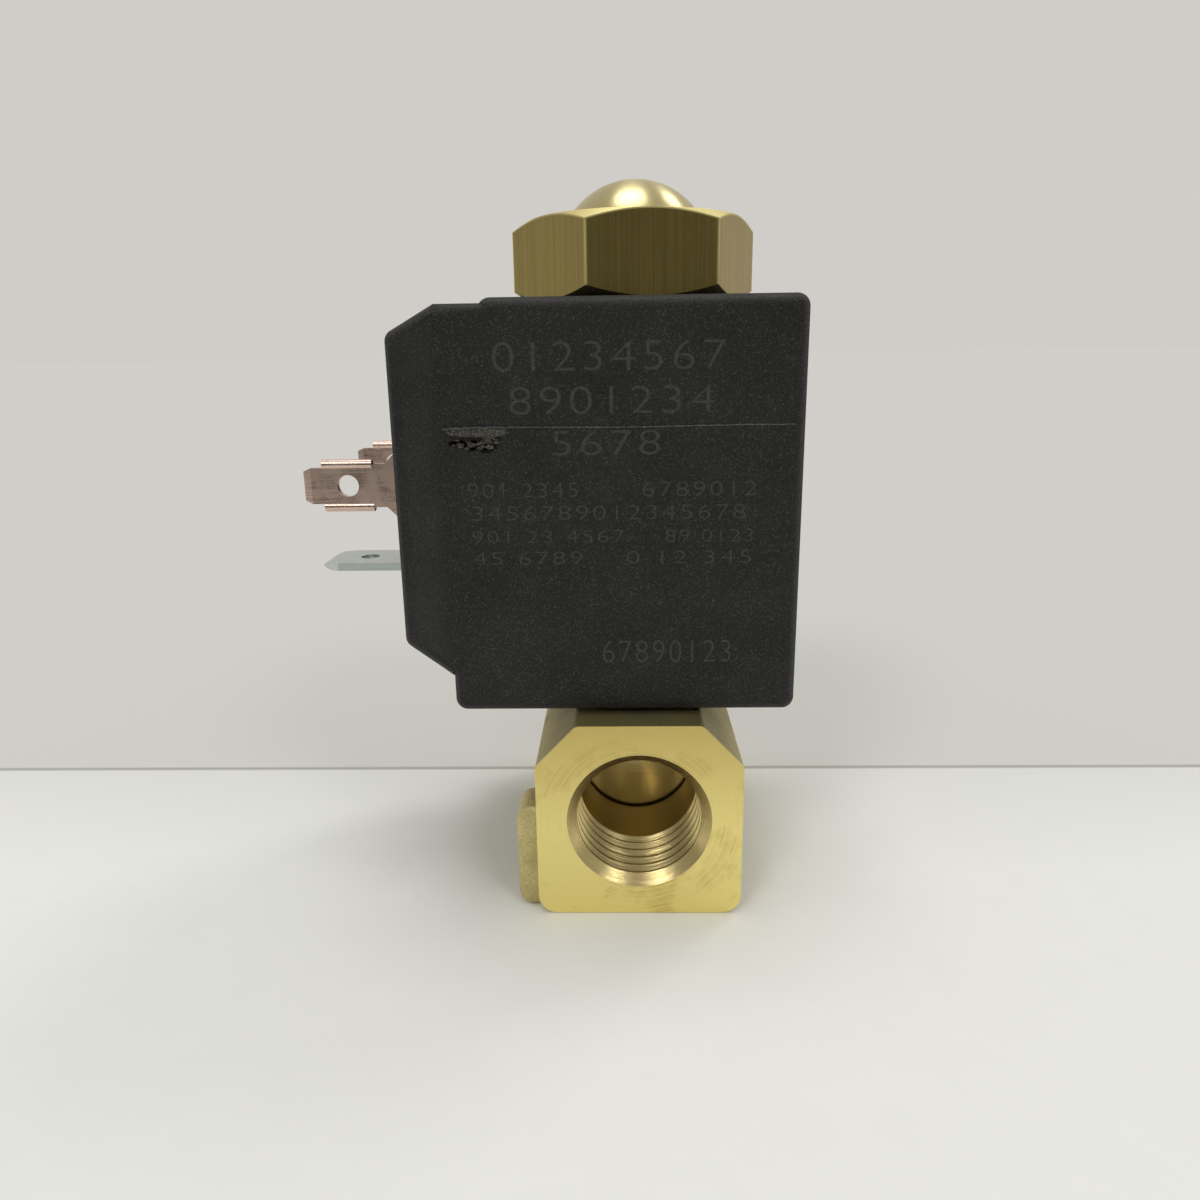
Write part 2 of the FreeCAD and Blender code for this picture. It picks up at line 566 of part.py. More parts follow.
def plug_insert():
    """Grooved brass insert, threaded for the plug's central screw."""
    solid = along(V(1, 0, 0), INSERT_RADIUS, V(BLOCK_FACE, 0, LINE_HEIGHT), INSERT_LENGTH)
    band = INSERT_LENGTH / 5
    for place in (1, 3):
        outer = along(V(1, 0, 0), INSERT_RADIUS + 1, V(BLOCK_FACE + place * band, 0, LINE_HEIGHT), band)
        inner = along(V(1, 0, 0), INSERT_RADIUS - INSERT_GROOVE, V(BLOCK_FACE + place * band, 0, LINE_HEIGHT), band)
        solid = solid.cut(outer.cut(inner))
    hole = along(V(1, 0, 0), INSERT_HOLE_RADIUS, V(BLOCK_FACE - 1, 0, LINE_HEIGHT), INSERT_HOLE_DEPTH + 1)
    return solid.cut(hole)


def terminal_block():
    """Block on the coil's left end: flush with the sides, then bevelled to the plug's seat."""
    def rectangle(x, half, low, high):
        corners = [V(x, -half, low), V(x, half, low), V(x, half, high), V(x, -half, high)]
        return Part.makePolygon(corners + corners[:1])
    low = COIL_FOOT + BLOCK_FOOT_STEP
    high = COIL_TOP - BLOCK_TOP_STEP
    crease = COIL_LEFT
    hidden = COIL_LEFT + COIL_LEG_COVER
    inner = rectangle(crease, COIL_HALF, low, high)
    outer = rectangle(BLOCK_FACE, COIL_HALF - BLOCK_SIDE_BEVEL, low + BLOCK_FOOT_BEVEL, high - BLOCK_TOP_BEVEL)
    bevelled = Part.makeLoft([inner, outer], True, True)
    rounded = edges_where(bevelled, lambda e: e.CenterOfMass.x < crease - 0.01)
    bevelled = bevelled.makeFillet(COIL_EDGE_ROUND, rounded)
    flush = box(crease, hidden, -COIL_HALF, COIL_HALF, low, high)
    rims = edges_where(flush, lambda e: runs_along(e, V(1, 0, 0)))
    return fused([bevelled, flush.makeFillet(COIL_EDGE_ROUND, rims)])


def coil_overmould(embedded):
    shelf = box(COIL_LEFT, COIL_HALF, -COIL_HALF, COIL_HALF, COIL_FOOT, COIL_TOP - BLOCK_TOP_STEP)
    case = box(COIL_LEFT + BLOCK_SHELF_LENGTH, COIL_HALF, -COIL_HALF, COIL_HALF, COIL_SEAT, COIL_TOP)
    rounded = [shape.makeFillet(COIL_EDGE_ROUND, shape.Edges) for shape in (shelf, case)]
    solid = fused(rounded + [terminal_block()])
    recess = cylinder(TURRET_RADIUS + COIL_CLEARANCE, COIL_FOOT - 1, COIL_SEAT)
    bore = cylinder(COIL_BORE, COIL_SEAT - 1, COIL_TOP + 1)
    cavity = cylinder(CAVITY_RADIUS, BOBBIN_FOOT, BOBBIN_TOP)
    pole_holes = cylinder(SLEEVE_RADIUS + SEAT_GAP, COIL_SEAT, YOKE_TOP)
    screw_hole = along(V(1, 0, 0), INSERT_HOLE_RADIUS, V(BLOCK_FACE - 1, 0, LINE_HEIGHT), INSERT_HOLE_DEPTH + 1)
    rivet_hole = along(V(1, 0, 0), RIVET_RADIUS + SEAT_GAP, V(LEG_OUTSIDE - EARTH_SHEET, 0, rivet_height()),
                       YOKE_THICKNESS + EARTH_SHEET)
    solid = solid.cut([recess, bore, cavity, pole_holes, screw_hole, rivet_hole])
    return solid.cut(embedded)


def cap_nut():
    """Hexagon cap nut: both ends chamfered, a spherical dome, a recess below and a blind bore."""
    corner = NUT_ACROSS_FLATS / math.sqrt(3)
    corners = []
    for side in range(6):
        angle = math.radians(60 * side + NUT_TURN)
        corners.append((corner * math.cos(angle), corner * math.sin(angle), NUT_FOOT))
    hexagon = prism(corners, V(0, 0, NUT_HEIGHT))
    flat = NUT_ACROSS_FLATS / 2
    drop = (corner - flat) * math.tan(math.radians(NUT_CHAMFER_ANGLE))
    rim = corner + 0.01
    chamfered = turned([(0, NUT_FOOT), (flat, NUT_FOOT), (rim, NUT_FOOT + drop), (rim, NUT_TOP - drop),
                        (flat, NUT_TOP), (0, NUT_TOP)])
    centre = NUT_TOP + DOME_HEIGHT - DOME_RADIUS
    dome = Part.makeSphere(DOME_RADIUS, V(0, 0, centre)).common(cylinder(DOME_RADIUS + 1, NUT_TOP - 0.5, NUT_TOP + DOME_HEIGHT))
    solid = fused([hexagon.common(chamfered), dome])
    recess = cylinder(NUT_RECESS_RADIUS, NUT_FOOT - 1, NUT_CEILING)
    bore = cylinder(STUD_RADIUS + SEAT_GAP, NUT_CEILING - 1, STUD_TOP + NUT_BORE_SPARE)
    return solid.cut([recess, bore])


def spring_washer():
    """Ring of spring sheet bowed over its width, standing between the coil and the nut's recess."""
    low = COIL_TOP + WASHER_AIR
    high = NUT_CEILING - WASHER_AIR - WASHER_SHEET
    reach = WASHER_OUTER_RADIUS
    under = Part.Arc(V(-reach, -reach, low), V(0, -reach, high), V(reach, -reach, low)).toShape()
    over = Part.Arc(V(reach, -reach, low + WASHER_SHEET), V(0, -reach, high + WASHER_SHEET),
                    V(-reach, -reach, low + WASHER_SHEET)).toShape()
    right = Part.makeLine(V(reach, -reach, low), V(reach, -reach, low + WASHER_SHEET))
    left = Part.makeLine(V(-reach, -reach, low + WASHER_SHEET), V(-reach, -reach, low))
    sheet = Part.Face(Part.Wire([under, right, over, left])).extrude(V(0, 2 * reach, 0))
    return sheet.common(ring(WASHER_INNER_RADIUS, WASHER_OUTER_RADIUS, COIL_TOP, NUT_CEILING))


def nut_o_ring():
    middle = (COIL_TOP + NUT_CEILING) / 2
    return Part.makeTorus(NUT_RING_CENTRE, NUT_RING_RADIUS, V(0, 0, middle))


# Body
save(valve_body(), "valve_body")
save(tube_base(), "tube_base_nut")
save(body_o_ring(), "body_o_ring")
save(armature_tube(), "armature_tube")
save(fixed_core(), "fixed_core")
save(shading_ring(), "shading_ring")
save(return_spring(), "return_spring")
save(coil_gasket(), "coil_gasket")
save(cap_nut(), "cap_nut")
save(spring_washer(), "spring_washer")
save(nut_o_ring(), "nut_o_ring")

# Plunger
save(plunger(), "plunger")
save(plunger_seal(), "plunger_seal")

# Coil
yoke = yoke_frame()
front_line = line_terminal(-1)
rear_line = line_terminal(1)
earth = earth_terminal()
rivet = earth_rivet()
front_lead = lead_wire(-1)
rear_lead = lead_wire(1)
insert = plug_insert()
save(coil_overmould([yoke, front_line, rear_line, earth, rivet, front_lead, rear_lead, insert]), "coil_overmould")
save(yoke, "yoke_frame")
save(lower_sleeve(), "lower_pole_sleeve")
save(upper_sleeve(), "upper_pole_sleeve")
save(bobbin(), "bobbin")
save(winding(), "winding")
save(winding_tape(), "winding_tape")
save(front_line, "line_terminal_front")
save(rear_line, "line_terminal_rear")
save(earth, "earth_terminal")
save(rivet, "earth_rivet")
save(front_lead, "lead_wire_front")
save(rear_lead, "lead_wire_rear")
save(insert, "plug_insert")
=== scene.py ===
import math
import random

import bmesh
import bpy
from mathutils import Matrix, Vector


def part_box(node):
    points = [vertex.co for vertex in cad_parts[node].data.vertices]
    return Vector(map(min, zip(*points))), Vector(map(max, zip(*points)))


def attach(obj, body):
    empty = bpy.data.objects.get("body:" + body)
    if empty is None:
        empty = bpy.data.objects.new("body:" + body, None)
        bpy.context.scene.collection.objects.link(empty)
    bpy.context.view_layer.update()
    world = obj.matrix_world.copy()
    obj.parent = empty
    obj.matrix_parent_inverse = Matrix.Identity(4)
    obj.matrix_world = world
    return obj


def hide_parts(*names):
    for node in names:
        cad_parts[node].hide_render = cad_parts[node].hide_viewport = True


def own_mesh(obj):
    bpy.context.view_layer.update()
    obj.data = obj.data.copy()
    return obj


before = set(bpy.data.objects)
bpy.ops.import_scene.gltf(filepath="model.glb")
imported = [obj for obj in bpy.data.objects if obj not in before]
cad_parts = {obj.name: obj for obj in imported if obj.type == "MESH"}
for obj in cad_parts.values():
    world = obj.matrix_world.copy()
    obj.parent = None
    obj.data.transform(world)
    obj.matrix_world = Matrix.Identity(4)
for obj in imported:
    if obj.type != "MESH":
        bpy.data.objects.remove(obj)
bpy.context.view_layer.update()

MM = 0.001

# Places on the part, in millimetres, that the finishes and the added pieces keep to
PORT_HEIGHT = 9.5
PORT_RADIUS = 6.7
PORT_FACE = 17.0
# How far the bright facing cut runs over the edge of a port face
FACED_RIM = 0.2
# The end face of a bore lies this near the middle of the body, and meets the wall at this radius
BORE_END = 3.2
BORE_CORNER = 5.45
BORE_CORNER_WIDTH = 0.3
TURRET_FOOT = 19.05
COIL_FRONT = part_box("coil_overmould")[0].y / MM
COIL_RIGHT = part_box("coil_overmould")[1].x / MM
NUT_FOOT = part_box("cap_nut")[0].z / MM
HEXAGON_TOP = NUT_FOOT + 7.1
FLASH_HEIGHT = 45.18
NUT_AXIS_TO_FLAT = 10.0
NUT_CORNER_FROM = 11.44
NUT_CORNER_TO = 11.52
NUT_CHAMFER_SLOPE = math.tan(math.radians(30))
# Where the second card of the floor begins
CARD_SEAM = 14.2


def linear(hex_colour):
    """A hex sRGB colour as the four linear numbers that a socket takes."""
    parts = [int(hex_colour[i:i + 2], 16) / 255 for i in (1, 3, 5)]
    return [c / 12.92 if c <= 0.04045 else ((c + 0.055) / 1.055) ** 2.4 for c in parts] + [1]


def add(tree, kind, inputs=None, **settings):
    """Adds one node. An input is a value, a socket, or a node whose first live output is meant."""
    made = tree.nodes.new(kind)
    for name, value in settings.items():
        setattr(made, name, value)
    for key, value in (inputs or {}).items():
        if isinstance(value, bpy.types.Node):
            value = next(o for o in value.outputs if o.enabled)
        if isinstance(value, bpy.types.NodeSocket):
            tree.links.new(value, made.inputs[key])
        else:
            made.inputs[key].default_value = value
    return made


def new_finish(name, colour, metallic, roughness):
    """A material with its Principled shader, and the place on the part in millimetres."""
    material = bpy.data.materials.new(name)
    material.use_nodes = True
    tree = material.node_tree
    shader = tree.nodes["Principled BSDF"]
    shader.inputs["Base Color"].default_value = linear(colour)
    shader.inputs["Metallic"].default_value = metallic
    shader.inputs["Roughness"].default_value = roughness
    coordinates = add(tree, "ShaderNodeTexCoord")
    place = add(tree, "ShaderNodeVectorMath", {0: coordinates.outputs["Object"], "Scale": 1 / MM},
                operation="SCALE")
    return material, tree, shader, place


def join(tree, shader, **sockets):
    """Links what was built to the shader's sockets, named with underscores for spaces."""
    for name, value in sockets.items():
        if isinstance(value, bpy.types.Node):
            value = next(o for o in value.outputs if o.enabled)
        tree.links.new(value, shader.inputs[name.replace("_", " ")])


def forged_brass():
    """CW617N brass, hot forged and shot blasted: a satin olive yellow with a fine grain. Its port
    faces and bores are cut afterwards and stay bright yellow with fine tool rings."""
    material, tree, shader, place = new_finish("forged_brass", "#b29a5c", 1, 0.5)
    axes = add(tree, "ShaderNodeSeparateXYZ", {0: place})
    depth = add(tree, "ShaderNodeMath", {0: axes.outputs["Y"]}, operation="ABSOLUTE")
    on_face = add(tree, "ShaderNodeMath", {0: depth, 1: PORT_FACE - FACED_RIM}, operation="GREATER_THAN")
    drop = add(tree, "ShaderNodeMath", {0: axes.outputs["Z"], 1: PORT_HEIGHT}, operation="SUBTRACT")
    off_axis = add(tree, "ShaderNodeCombineXYZ", {0: axes.outputs["X"], 2: drop})
    from_port = add(tree, "ShaderNodeVectorMath", {0: off_axis}, operation="LENGTH")
    in_bore = add(tree, "ShaderNodeMath", {0: from_port.outputs["Value"], 1: PORT_RADIUS},
                  operation="LESS_THAN")
    turret = add(tree, "ShaderNodeMath", {0: axes.outputs["Z"], 1: TURRET_FOOT}, operation="GREATER_THAN")
    cut = add(tree, "ShaderNodeMath", {0: on_face, 1: in_bore}, operation="MAXIMUM")
    machined = add(tree, "ShaderNodeMath", {0: cut, 1: turret}, operation="MAXIMUM")

    # Blasted skin: craters of about 0.2 mm, and tarnish that drifts over a few millimetres
    craters = add(tree, "ShaderNodeTexNoise", {"Vector": place, "Scale": 4.5, "Detail": 3, "Roughness": 0.6})
    drift = add(tree, "ShaderNodeTexNoise", {"Vector": place, "Scale": 0.3, "Detail": 4, "Roughness": 0.6})
    blend = add(tree, "ShaderNodeMix", {0: 0.6, 2: drift.outputs["Fac"], 3: craters.outputs["Fac"]})
    skin = add(tree, "ShaderNodeMapRange", {"Value": blend, "From Min": 0.34, "From Max": 0.66})
    tarnish = add(tree, "ShaderNodeMix", {0: skin, 6: linear("#c6b985"), 7: linear("#e9dba2")},
                  data_type="RGBA")

    # Faced and bored surfaces: rings 0.2 mm apart about the port's axis and along its depth, twice the
    # feed of a real cut so that they show.
    # The facing tool left patches where the rings are deeper and a little brown
    reach = add(tree, "ShaderNodeMath", {0: from_port.outputs["Value"], 1: depth}, operation="ADD")
    waver = add(tree, "ShaderNodeTexNoise", {"Vector": place, "Scale": 0.22, "Detail": 3, "Roughness": 0.6})
    bent = add(tree, "ShaderNodeMath", {0: waver.outputs["Fac"], 1: 0.8, 2: reach}, operation="MULTIPLY_ADD")
    rings = add(tree, "ShaderNodeTexNoise", {"W": bent, "Scale": 5, "Detail": 3, "Roughness": 0.7},
                noise_dimensions="1D")
    patch = add(tree, "ShaderNodeMapRange",
                {"Value": waver.outputs["Fac"], "From Min": 0.52, "From Max": 0.66})
    groove = add(tree, "ShaderNodeMapRange",
                 {"Value": rings.outputs["Fac"], "From Min": 0.62, "From Max": 0.5})
    worn = add(tree, "ShaderNodeMath", {0: patch, 1: groove}, operation="MULTIPLY")
    bright = add(tree, "ShaderNodeMix", {0: rings.outputs["Fac"], 6: linear("#f8e58e"), 7: linear("#fff2a8")},
                 data_type="RGBA")
    scored = add(tree, "ShaderNodeMix", {0: worn, 6: bright, 7: linear("#e6d183")}, data_type="RGBA")
    # Painted shade: the upper part of the face, close under the coil, is coloured browner and darker
    height_up = add(tree, "ShaderNodeMapRange", {"Value": axes.outputs["Z"], "From Min": 9, "From Max": 18.5})
    top_shade = add(tree, "ShaderNodeMath", {0: height_up, 1: 0.75}, operation="MULTIPLY")
    shaded_face = add(tree, "ShaderNodeMix", {0: top_shade, 6: scored, 7: linear("#cdb66c")}, data_type="RGBA")
    # Painted shade: the corner where the end face of the bore meets its wall is coloured dark brown
    past_corner = add(tree, "ShaderNodeMapRange",
                      {"Value": from_port.outputs["Value"], "From Min": BORE_CORNER,
                       "From Max": BORE_CORNER + BORE_CORNER_WIDTH})
    deep = add(tree, "ShaderNodeMath", {0: depth, 1: BORE_END}, operation="LESS_THAN")
    corner_shade = add(tree, "ShaderNodeMath", {0: past_corner, 1: deep}, operation="MULTIPLY")
    inside = add(tree, "ShaderNodeMix", {0: corner_shade, 6: linear("#dac68c"), 7: linear("#55431f")},
                 data_type="RGBA")
    bore = add(tree, "ShaderNodeMix", {0: in_bore, 6: shaded_face, 7: inside}, data_type="RGBA")
    # Painted shade: the skin close under the coil is coloured darker, most at the top
    under_coil_shade = add(tree, "ShaderNodeMapRange", {"Value": axes.outputs["Z"], "From Min": 13, "From Max": 17,
                                                 "To Max": 0.55})
    forged = add(tree, "ShaderNodeMix", {0: under_coil_shade, 6: tarnish, 7: linear("#887f55")}, data_type="RGBA")
    colour = add(tree, "ShaderNodeMix", {0: machined, 6: forged, 7: bore}, data_type="RGBA")

    smooth = add(tree, "ShaderNodeMix", {0: in_bore, 2: 0.46, 3: 0.26})
    dull = add(tree, "ShaderNodeMapRange", {"Value": skin, "To Min": 0.62, "To Max": 0.46})
    roughness = add(tree, "ShaderNodeMix", {0: machined, 2: dull, 3: smooth})
    grain = add(tree, "ShaderNodeMath", {0: craters.outputs["Fac"], 1: 0.1}, operation="MULTIPLY")
    tooling = add(tree, "ShaderNodeMath", {0: rings.outputs["Fac"], 1: 0.014}, operation="MULTIPLY")
    height = add(tree, "ShaderNodeMix", {0: machined, 2: grain, 3: tooling})
    bump = add(tree, "ShaderNodeBump", {"Height": height, "Distance": MM, "Strength": 1})
    join(tree, shader, Base_Color=colour, Roughness=roughness, Normal=bump)
    return material


def drawn_brass():
    """Brass hexagon bar: the flats keep the fine lines of drawing, the ends and dome are turned
    bright, and the edges between them carry a thin painted highlight for the light their rounding catches."""
    material, tree, shader, place = new_finish("drawn_brass", "#c3ad62", 1, 0.3)
    axes = add(tree, "ShaderNodeSeparateXYZ", {0: place})
    # Lines that run the height of the nut, 0.2 mm apart. The real ones are nearer 0.05 mm, too fine to show
    stretched = add(tree, "ShaderNodeMapping", {"Vector": place, "Scale": (5.5, 5.5, 0.03)})
    lines = add(tree, "ShaderNodeTexNoise", {"Vector": stretched, "Scale": 1, "Detail": 4, "Roughness": 0.7})
    drift = add(tree, "ShaderNodeTexNoise", {"Vector": place, "Scale": 0.3, "Detail": 3})
    dome = add(tree, "ShaderNodeMath", {0: axes.outputs["Z"], 1: HEXAGON_TOP - 0.02},
               operation="GREATER_THAN")
    normal = add(tree, "ShaderNodeNewGeometry")
    facing = add(tree, "ShaderNodeSeparateXYZ", {0: normal.outputs["Normal"]})
    tilt = add(tree, "ShaderNodeMath", {0: facing.outputs["Z"]}, operation="ABSOLUTE")
    chamfer = add(tree, "ShaderNodeMath", {0: tilt, 1: 0.3}, operation="GREATER_THAN")
    turned = add(tree, "ShaderNodeMath", {0: dome, 1: chamfer}, operation="MAXIMUM")
    rings = add(tree, "ShaderNodeTexNoise", {"W": axes.outputs["Z"], "Scale": 9, "Detail": 2},
                noise_dimensions="1D")

    # The six corners are farthest from the axis. The chamfer meets a flat at a height that falls
    # with the distance from the axis
    level = add(tree, "ShaderNodeCombineXYZ", {0: axes.outputs["X"], 1: axes.outputs["Y"]})
    out = add(tree, "ShaderNodeVectorMath", {0: level}, operation="LENGTH")
    corner = add(tree, "ShaderNodeMapRange",
                 {"Value": out.outputs["Value"], "From Min": NUT_CORNER_FROM, "From Max": NUT_CORNER_TO})
    past = add(tree, "ShaderNodeMath", {0: out.outputs["Value"], 1: NUT_AXIS_TO_FLAT}, operation="SUBTRACT")
    meets = add(tree, "ShaderNodeMath", {0: past, 1: -NUT_CHAMFER_SLOPE, 2: HEXAGON_TOP},
                operation="MULTIPLY_ADD")
    under = add(tree, "ShaderNodeMath", {0: meets, 1: axes.outputs["Z"]}, operation="SUBTRACT")
    near = add(tree, "ShaderNodeMath", {0: under}, operation="ABSOLUTE")
    brink = add(tree, "ShaderNodeMapRange", {"Value": near, "From Min": 0.16, "From Max": 0.08})
    # Painted highlight: the six corners and the rims where a chamfer meets a flat are coloured pale
    edge_highlight = add(tree, "ShaderNodeMath", {0: corner, 1: brink}, operation="MAXIMUM")

    flats = add(tree, "ShaderNodeMix", {0: lines.outputs["Fac"], 6: linear("#7c6932"), 7: linear("#d2bd76")},
                data_type="RGBA")
    ends = add(tree, "ShaderNodeMix", {0: turned, 6: flats, 7: linear("#d2c490")}, data_type="RGBA")
    colour = add(tree, "ShaderNodeMix", {0: edge_highlight, 6: ends, 7: linear("#e9dc9c")}, data_type="RGBA")
    dull = add(tree, "ShaderNodeMapRange", {"Value": drift.outputs["Fac"], "To Min": 0.26, "To Max": 0.36})
    gloss = add(tree, "ShaderNodeMix", {0: turned, 2: dull, 3: 0.3})
    roughness = add(tree, "ShaderNodeMix", {0: edge_highlight, 2: gloss, 3: 0.6})
    drawn = add(tree, "ShaderNodeMath", {0: lines.outputs["Fac"], 1: 0.012}, operation="MULTIPLY")
    cut = add(tree, "ShaderNodeMath", {0: rings.outputs["Fac"], 1: 0.006}, operation="MULTIPLY")
    height = add(tree, "ShaderNodeMix", {0: turned, 2: drawn, 3: cut})
    bump = add(tree, "ShaderNodeBump", {"Height": height, "Distance": MM, "Strength": 1})
    shader.inputs["Anisotropic"].default_value = 0.6
    around = add(tree, "ShaderNodeTangent", direction_type="RADIAL", axis="Z")
    # The turned dome spreads a highlight along its meridians, the drawn flats across their height
    quarter = add(tree, "ShaderNodeMath", {0: turned, 1: 0.25}, operation="MULTIPLY")
    join(tree, shader, Base_Color=colour, Roughness=roughness, Normal=bump, Tangent=around,
         Anisotropic_Rotation=quarter)
    return material


def case_moulding(name, dark, light, dust_and_sheen):
    """Glass filled nylon, moulded in a spark eroded tool: black and matt, cloudy where the glass
    lies near the skin, with pale specks of about 0.1 mm, and a painted sheen that pales its corners and
    bevels."""
    material, tree, shader, place = new_finish(name, dark, 0, 0.6)
    speck = add(tree, "ShaderNodeTexNoise", {"Vector": place, "Scale": 5, "Detail": 2, "Roughness": 0.6})
    cloud = add(tree, "ShaderNodeTexNoise", {"Vector": place, "Scale": 0.14, "Detail": 6, "Roughness": 0.65})
    grit = add(tree, "ShaderNodeMapRange",
               {"Value": speck.outputs["Fac"], "From Min": 0.35, "From Max": 0.65})
    haze = add(tree, "ShaderNodeMapRange",
               {"Value": cloud.outputs["Fac"], "From Min": 0.35, "From Max": 0.68})
    skin = add(tree, "ShaderNodeMix", {0: haze, 6: linear(dark), 7: linear(light)}, data_type="RGBA")
    gritty = add(tree, "ShaderNodeMix", {0: grit, 6: skin, 7: linear(light)}, data_type="RGBA")
    grains = add(tree, "ShaderNodeTexNoise", {"Vector": place, "Scale": 8.5, "Detail": 1})
    fewer = add(tree, "ShaderNodeMath", {0: haze, 1: -0.05, 2: 0.63}, operation="MULTIPLY_ADD")
    over = add(tree, "ShaderNodeMath", {0: grains.outputs["Fac"], 1: fewer}, operation="SUBTRACT")
    dots = add(tree, "ShaderNodeMapRange", {"Value": over, "From Min": 0, "From Max": 0.06})
    speckled = add(tree, "ShaderNodeMix", {0: dots, 6: gritty, 7: linear(dust_and_sheen)}, data_type="RGBA")

    # A corner's normal lies between the axes, so its longest part is short
    geometry = add(tree, "ShaderNodeNewGeometry")
    absolute = add(tree, "ShaderNodeVectorMath", {0: geometry.outputs["Normal"]}, operation="ABSOLUTE")
    parts = add(tree, "ShaderNodeSeparateXYZ", {0: absolute})
    longer = add(tree, "ShaderNodeMath", {0: parts.outputs["X"], 1: parts.outputs["Y"]}, operation="MAXIMUM")
    longest = add(tree, "ShaderNodeMath", {0: longer, 1: parts.outputs["Z"]}, operation="MAXIMUM")
    corner = add(tree, "ShaderNodeMapRange", {"Value": longest, "From Min": 0.95, "From Max": 0.72})
    # Painted sheen: corners and bevels are coloured paler, in the specks of grit
    bevel_sheen = add(tree, "ShaderNodeMath", {0: corner, 1: grit}, operation="MULTIPLY")
    colour = add(tree, "ShaderNodeMix", {0: bevel_sheen, 6: speckled, 7: linear(dust_and_sheen)}, data_type="RGBA")
    roughness = add(tree, "ShaderNodeMapRange",
                    {"Value": speck.outputs["Fac"], "To Min": 0.55, "To Max": 0.8})
    bump = add(tree, "ShaderNodeBump", {"Height": speck.outputs["Fac"], "Distance": 0.09 * MM, "Strength": 1})
    shader.inputs["IOR"].default_value = 1.53
    shader.inputs["Specular IOR Level"].default_value = 0.35
    join(tree, shader, Base_Color=colour, Roughness=roughness, Normal=bump)
    return material


def rolled_metal(name, dark, light, roughness, run):
    """Strip, wire or turned metal: fine lines that run one way, and slow changes of gloss. The lines are
    0.25 mm apart, coarser than the real ones so that they show. run scales the pattern along X, Y and Z:
    1 is across the lines, and a small number along them."""
    material, tree, shader, place = new_finish(name, light, 1, roughness)
    stretched = add(tree, "ShaderNodeMapping", {"Vector": place, "Scale": run})
    lines = add(tree, "ShaderNodeTexNoise", {"Vector": stretched, "Scale": 4, "Detail": 4, "Roughness": 0.6})
    drift = add(tree, "ShaderNodeTexNoise", {"Vector": place, "Scale": 0.7, "Detail": 3})
    colour = add(tree, "ShaderNodeMix", {0: drift.outputs["Fac"], 6: linear(dark), 7: linear(light)},
                 data_type="RGBA")
    gloss = add(tree, "ShaderNodeMapRange", {"Value": drift.outputs["Fac"], "From Min": 0.3, "From Max": 0.7,
                                             "To Min": roughness * 0.75, "To Max": roughness * 1.25})
    bump = add(tree, "ShaderNodeBump",
               {"Height": lines.outputs["Fac"], "Distance": 0.012 * MM, "Strength": 1})
    join(tree, shader, Base_Color=colour, Roughness=gloss, Normal=bump)
    return material


def wound_copper():
    """Enamelled copper wire laid in even turns: round ridges 0.22 mm apart with a warm red gloss."""
    material, tree, shader, place = new_finish("wound_copper", "#b5653a", 0.9, 0.3)
    axes = add(tree, "ShaderNodeSeparateXYZ", {0: place})
    turn = add(tree, "ShaderNodeMath", {0: axes.outputs["Z"], 1: 2 * math.pi / 0.22}, operation="MULTIPLY")
    ridge = add(tree, "ShaderNodeMath", {0: turn}, operation="SINE")
    drift = add(tree, "ShaderNodeTexNoise", {"Vector": place, "Scale": 0.8, "Detail": 3})
    colour = add(tree, "ShaderNodeMix", {0: drift.outputs["Fac"], 6: linear("#8f4526"), 7: linear("#c9784a")},
                 data_type="RGBA")
    bump = add(tree, "ShaderNodeBump", {"Height": ridge, "Distance": 0.05 * MM, "Strength": 1})
    join(tree, shader, Base_Color=colour, Normal=bump)
    return material


def moulded(name, dark, light, roughness, grain):
    """Rubber, nylon or film: one colour with slow cloudiness and a grain of so many lumps a millimetre."""
    material, tree, shader, place = new_finish(name, light, 0, roughness)
    cloud = add(tree, "ShaderNodeTexNoise", {"Vector": place, "Scale": 0.5, "Detail": 3})
    lumps = add(tree, "ShaderNodeTexNoise", {"Vector": place, "Scale": grain, "Detail": 2})
    colour = add(tree, "ShaderNodeMix", {0: cloud.outputs["Fac"], 6: linear(dark), 7: linear(light)},
                 data_type="RGBA")
    bump = add(tree, "ShaderNodeBump", {"Height": lumps.outputs["Fac"], "Distance": 0.02 * MM, "Strength": 1})
    join(tree, shader, Base_Color=colour, Normal=bump)
    return material


def laser_mark():
    """Laser etching on black nylon: the skin foams to a faint olive grey, patchy and matt."""
    material, tree, shader, place = new_finish("laser_mark", "#3f3d36", 0, 0.8)
    patch = add(tree, "ShaderNodeTexNoise", {"Vector": place, "Scale": 3.5, "Detail": 4, "Roughness": 0.7})
    strength = add(tree, "ShaderNodeMapRange",
                   {"Value": patch.outputs["Fac"], "From Min": 0.3, "From Max": 0.65})
    colour = add(tree, "ShaderNodeMix", {0: strength, 6: linear("#2c2b28"), 7: linear("#4a4840")},
                 data_type="RGBA")
    join(tree, shader, Base_Color=colour)
    return material


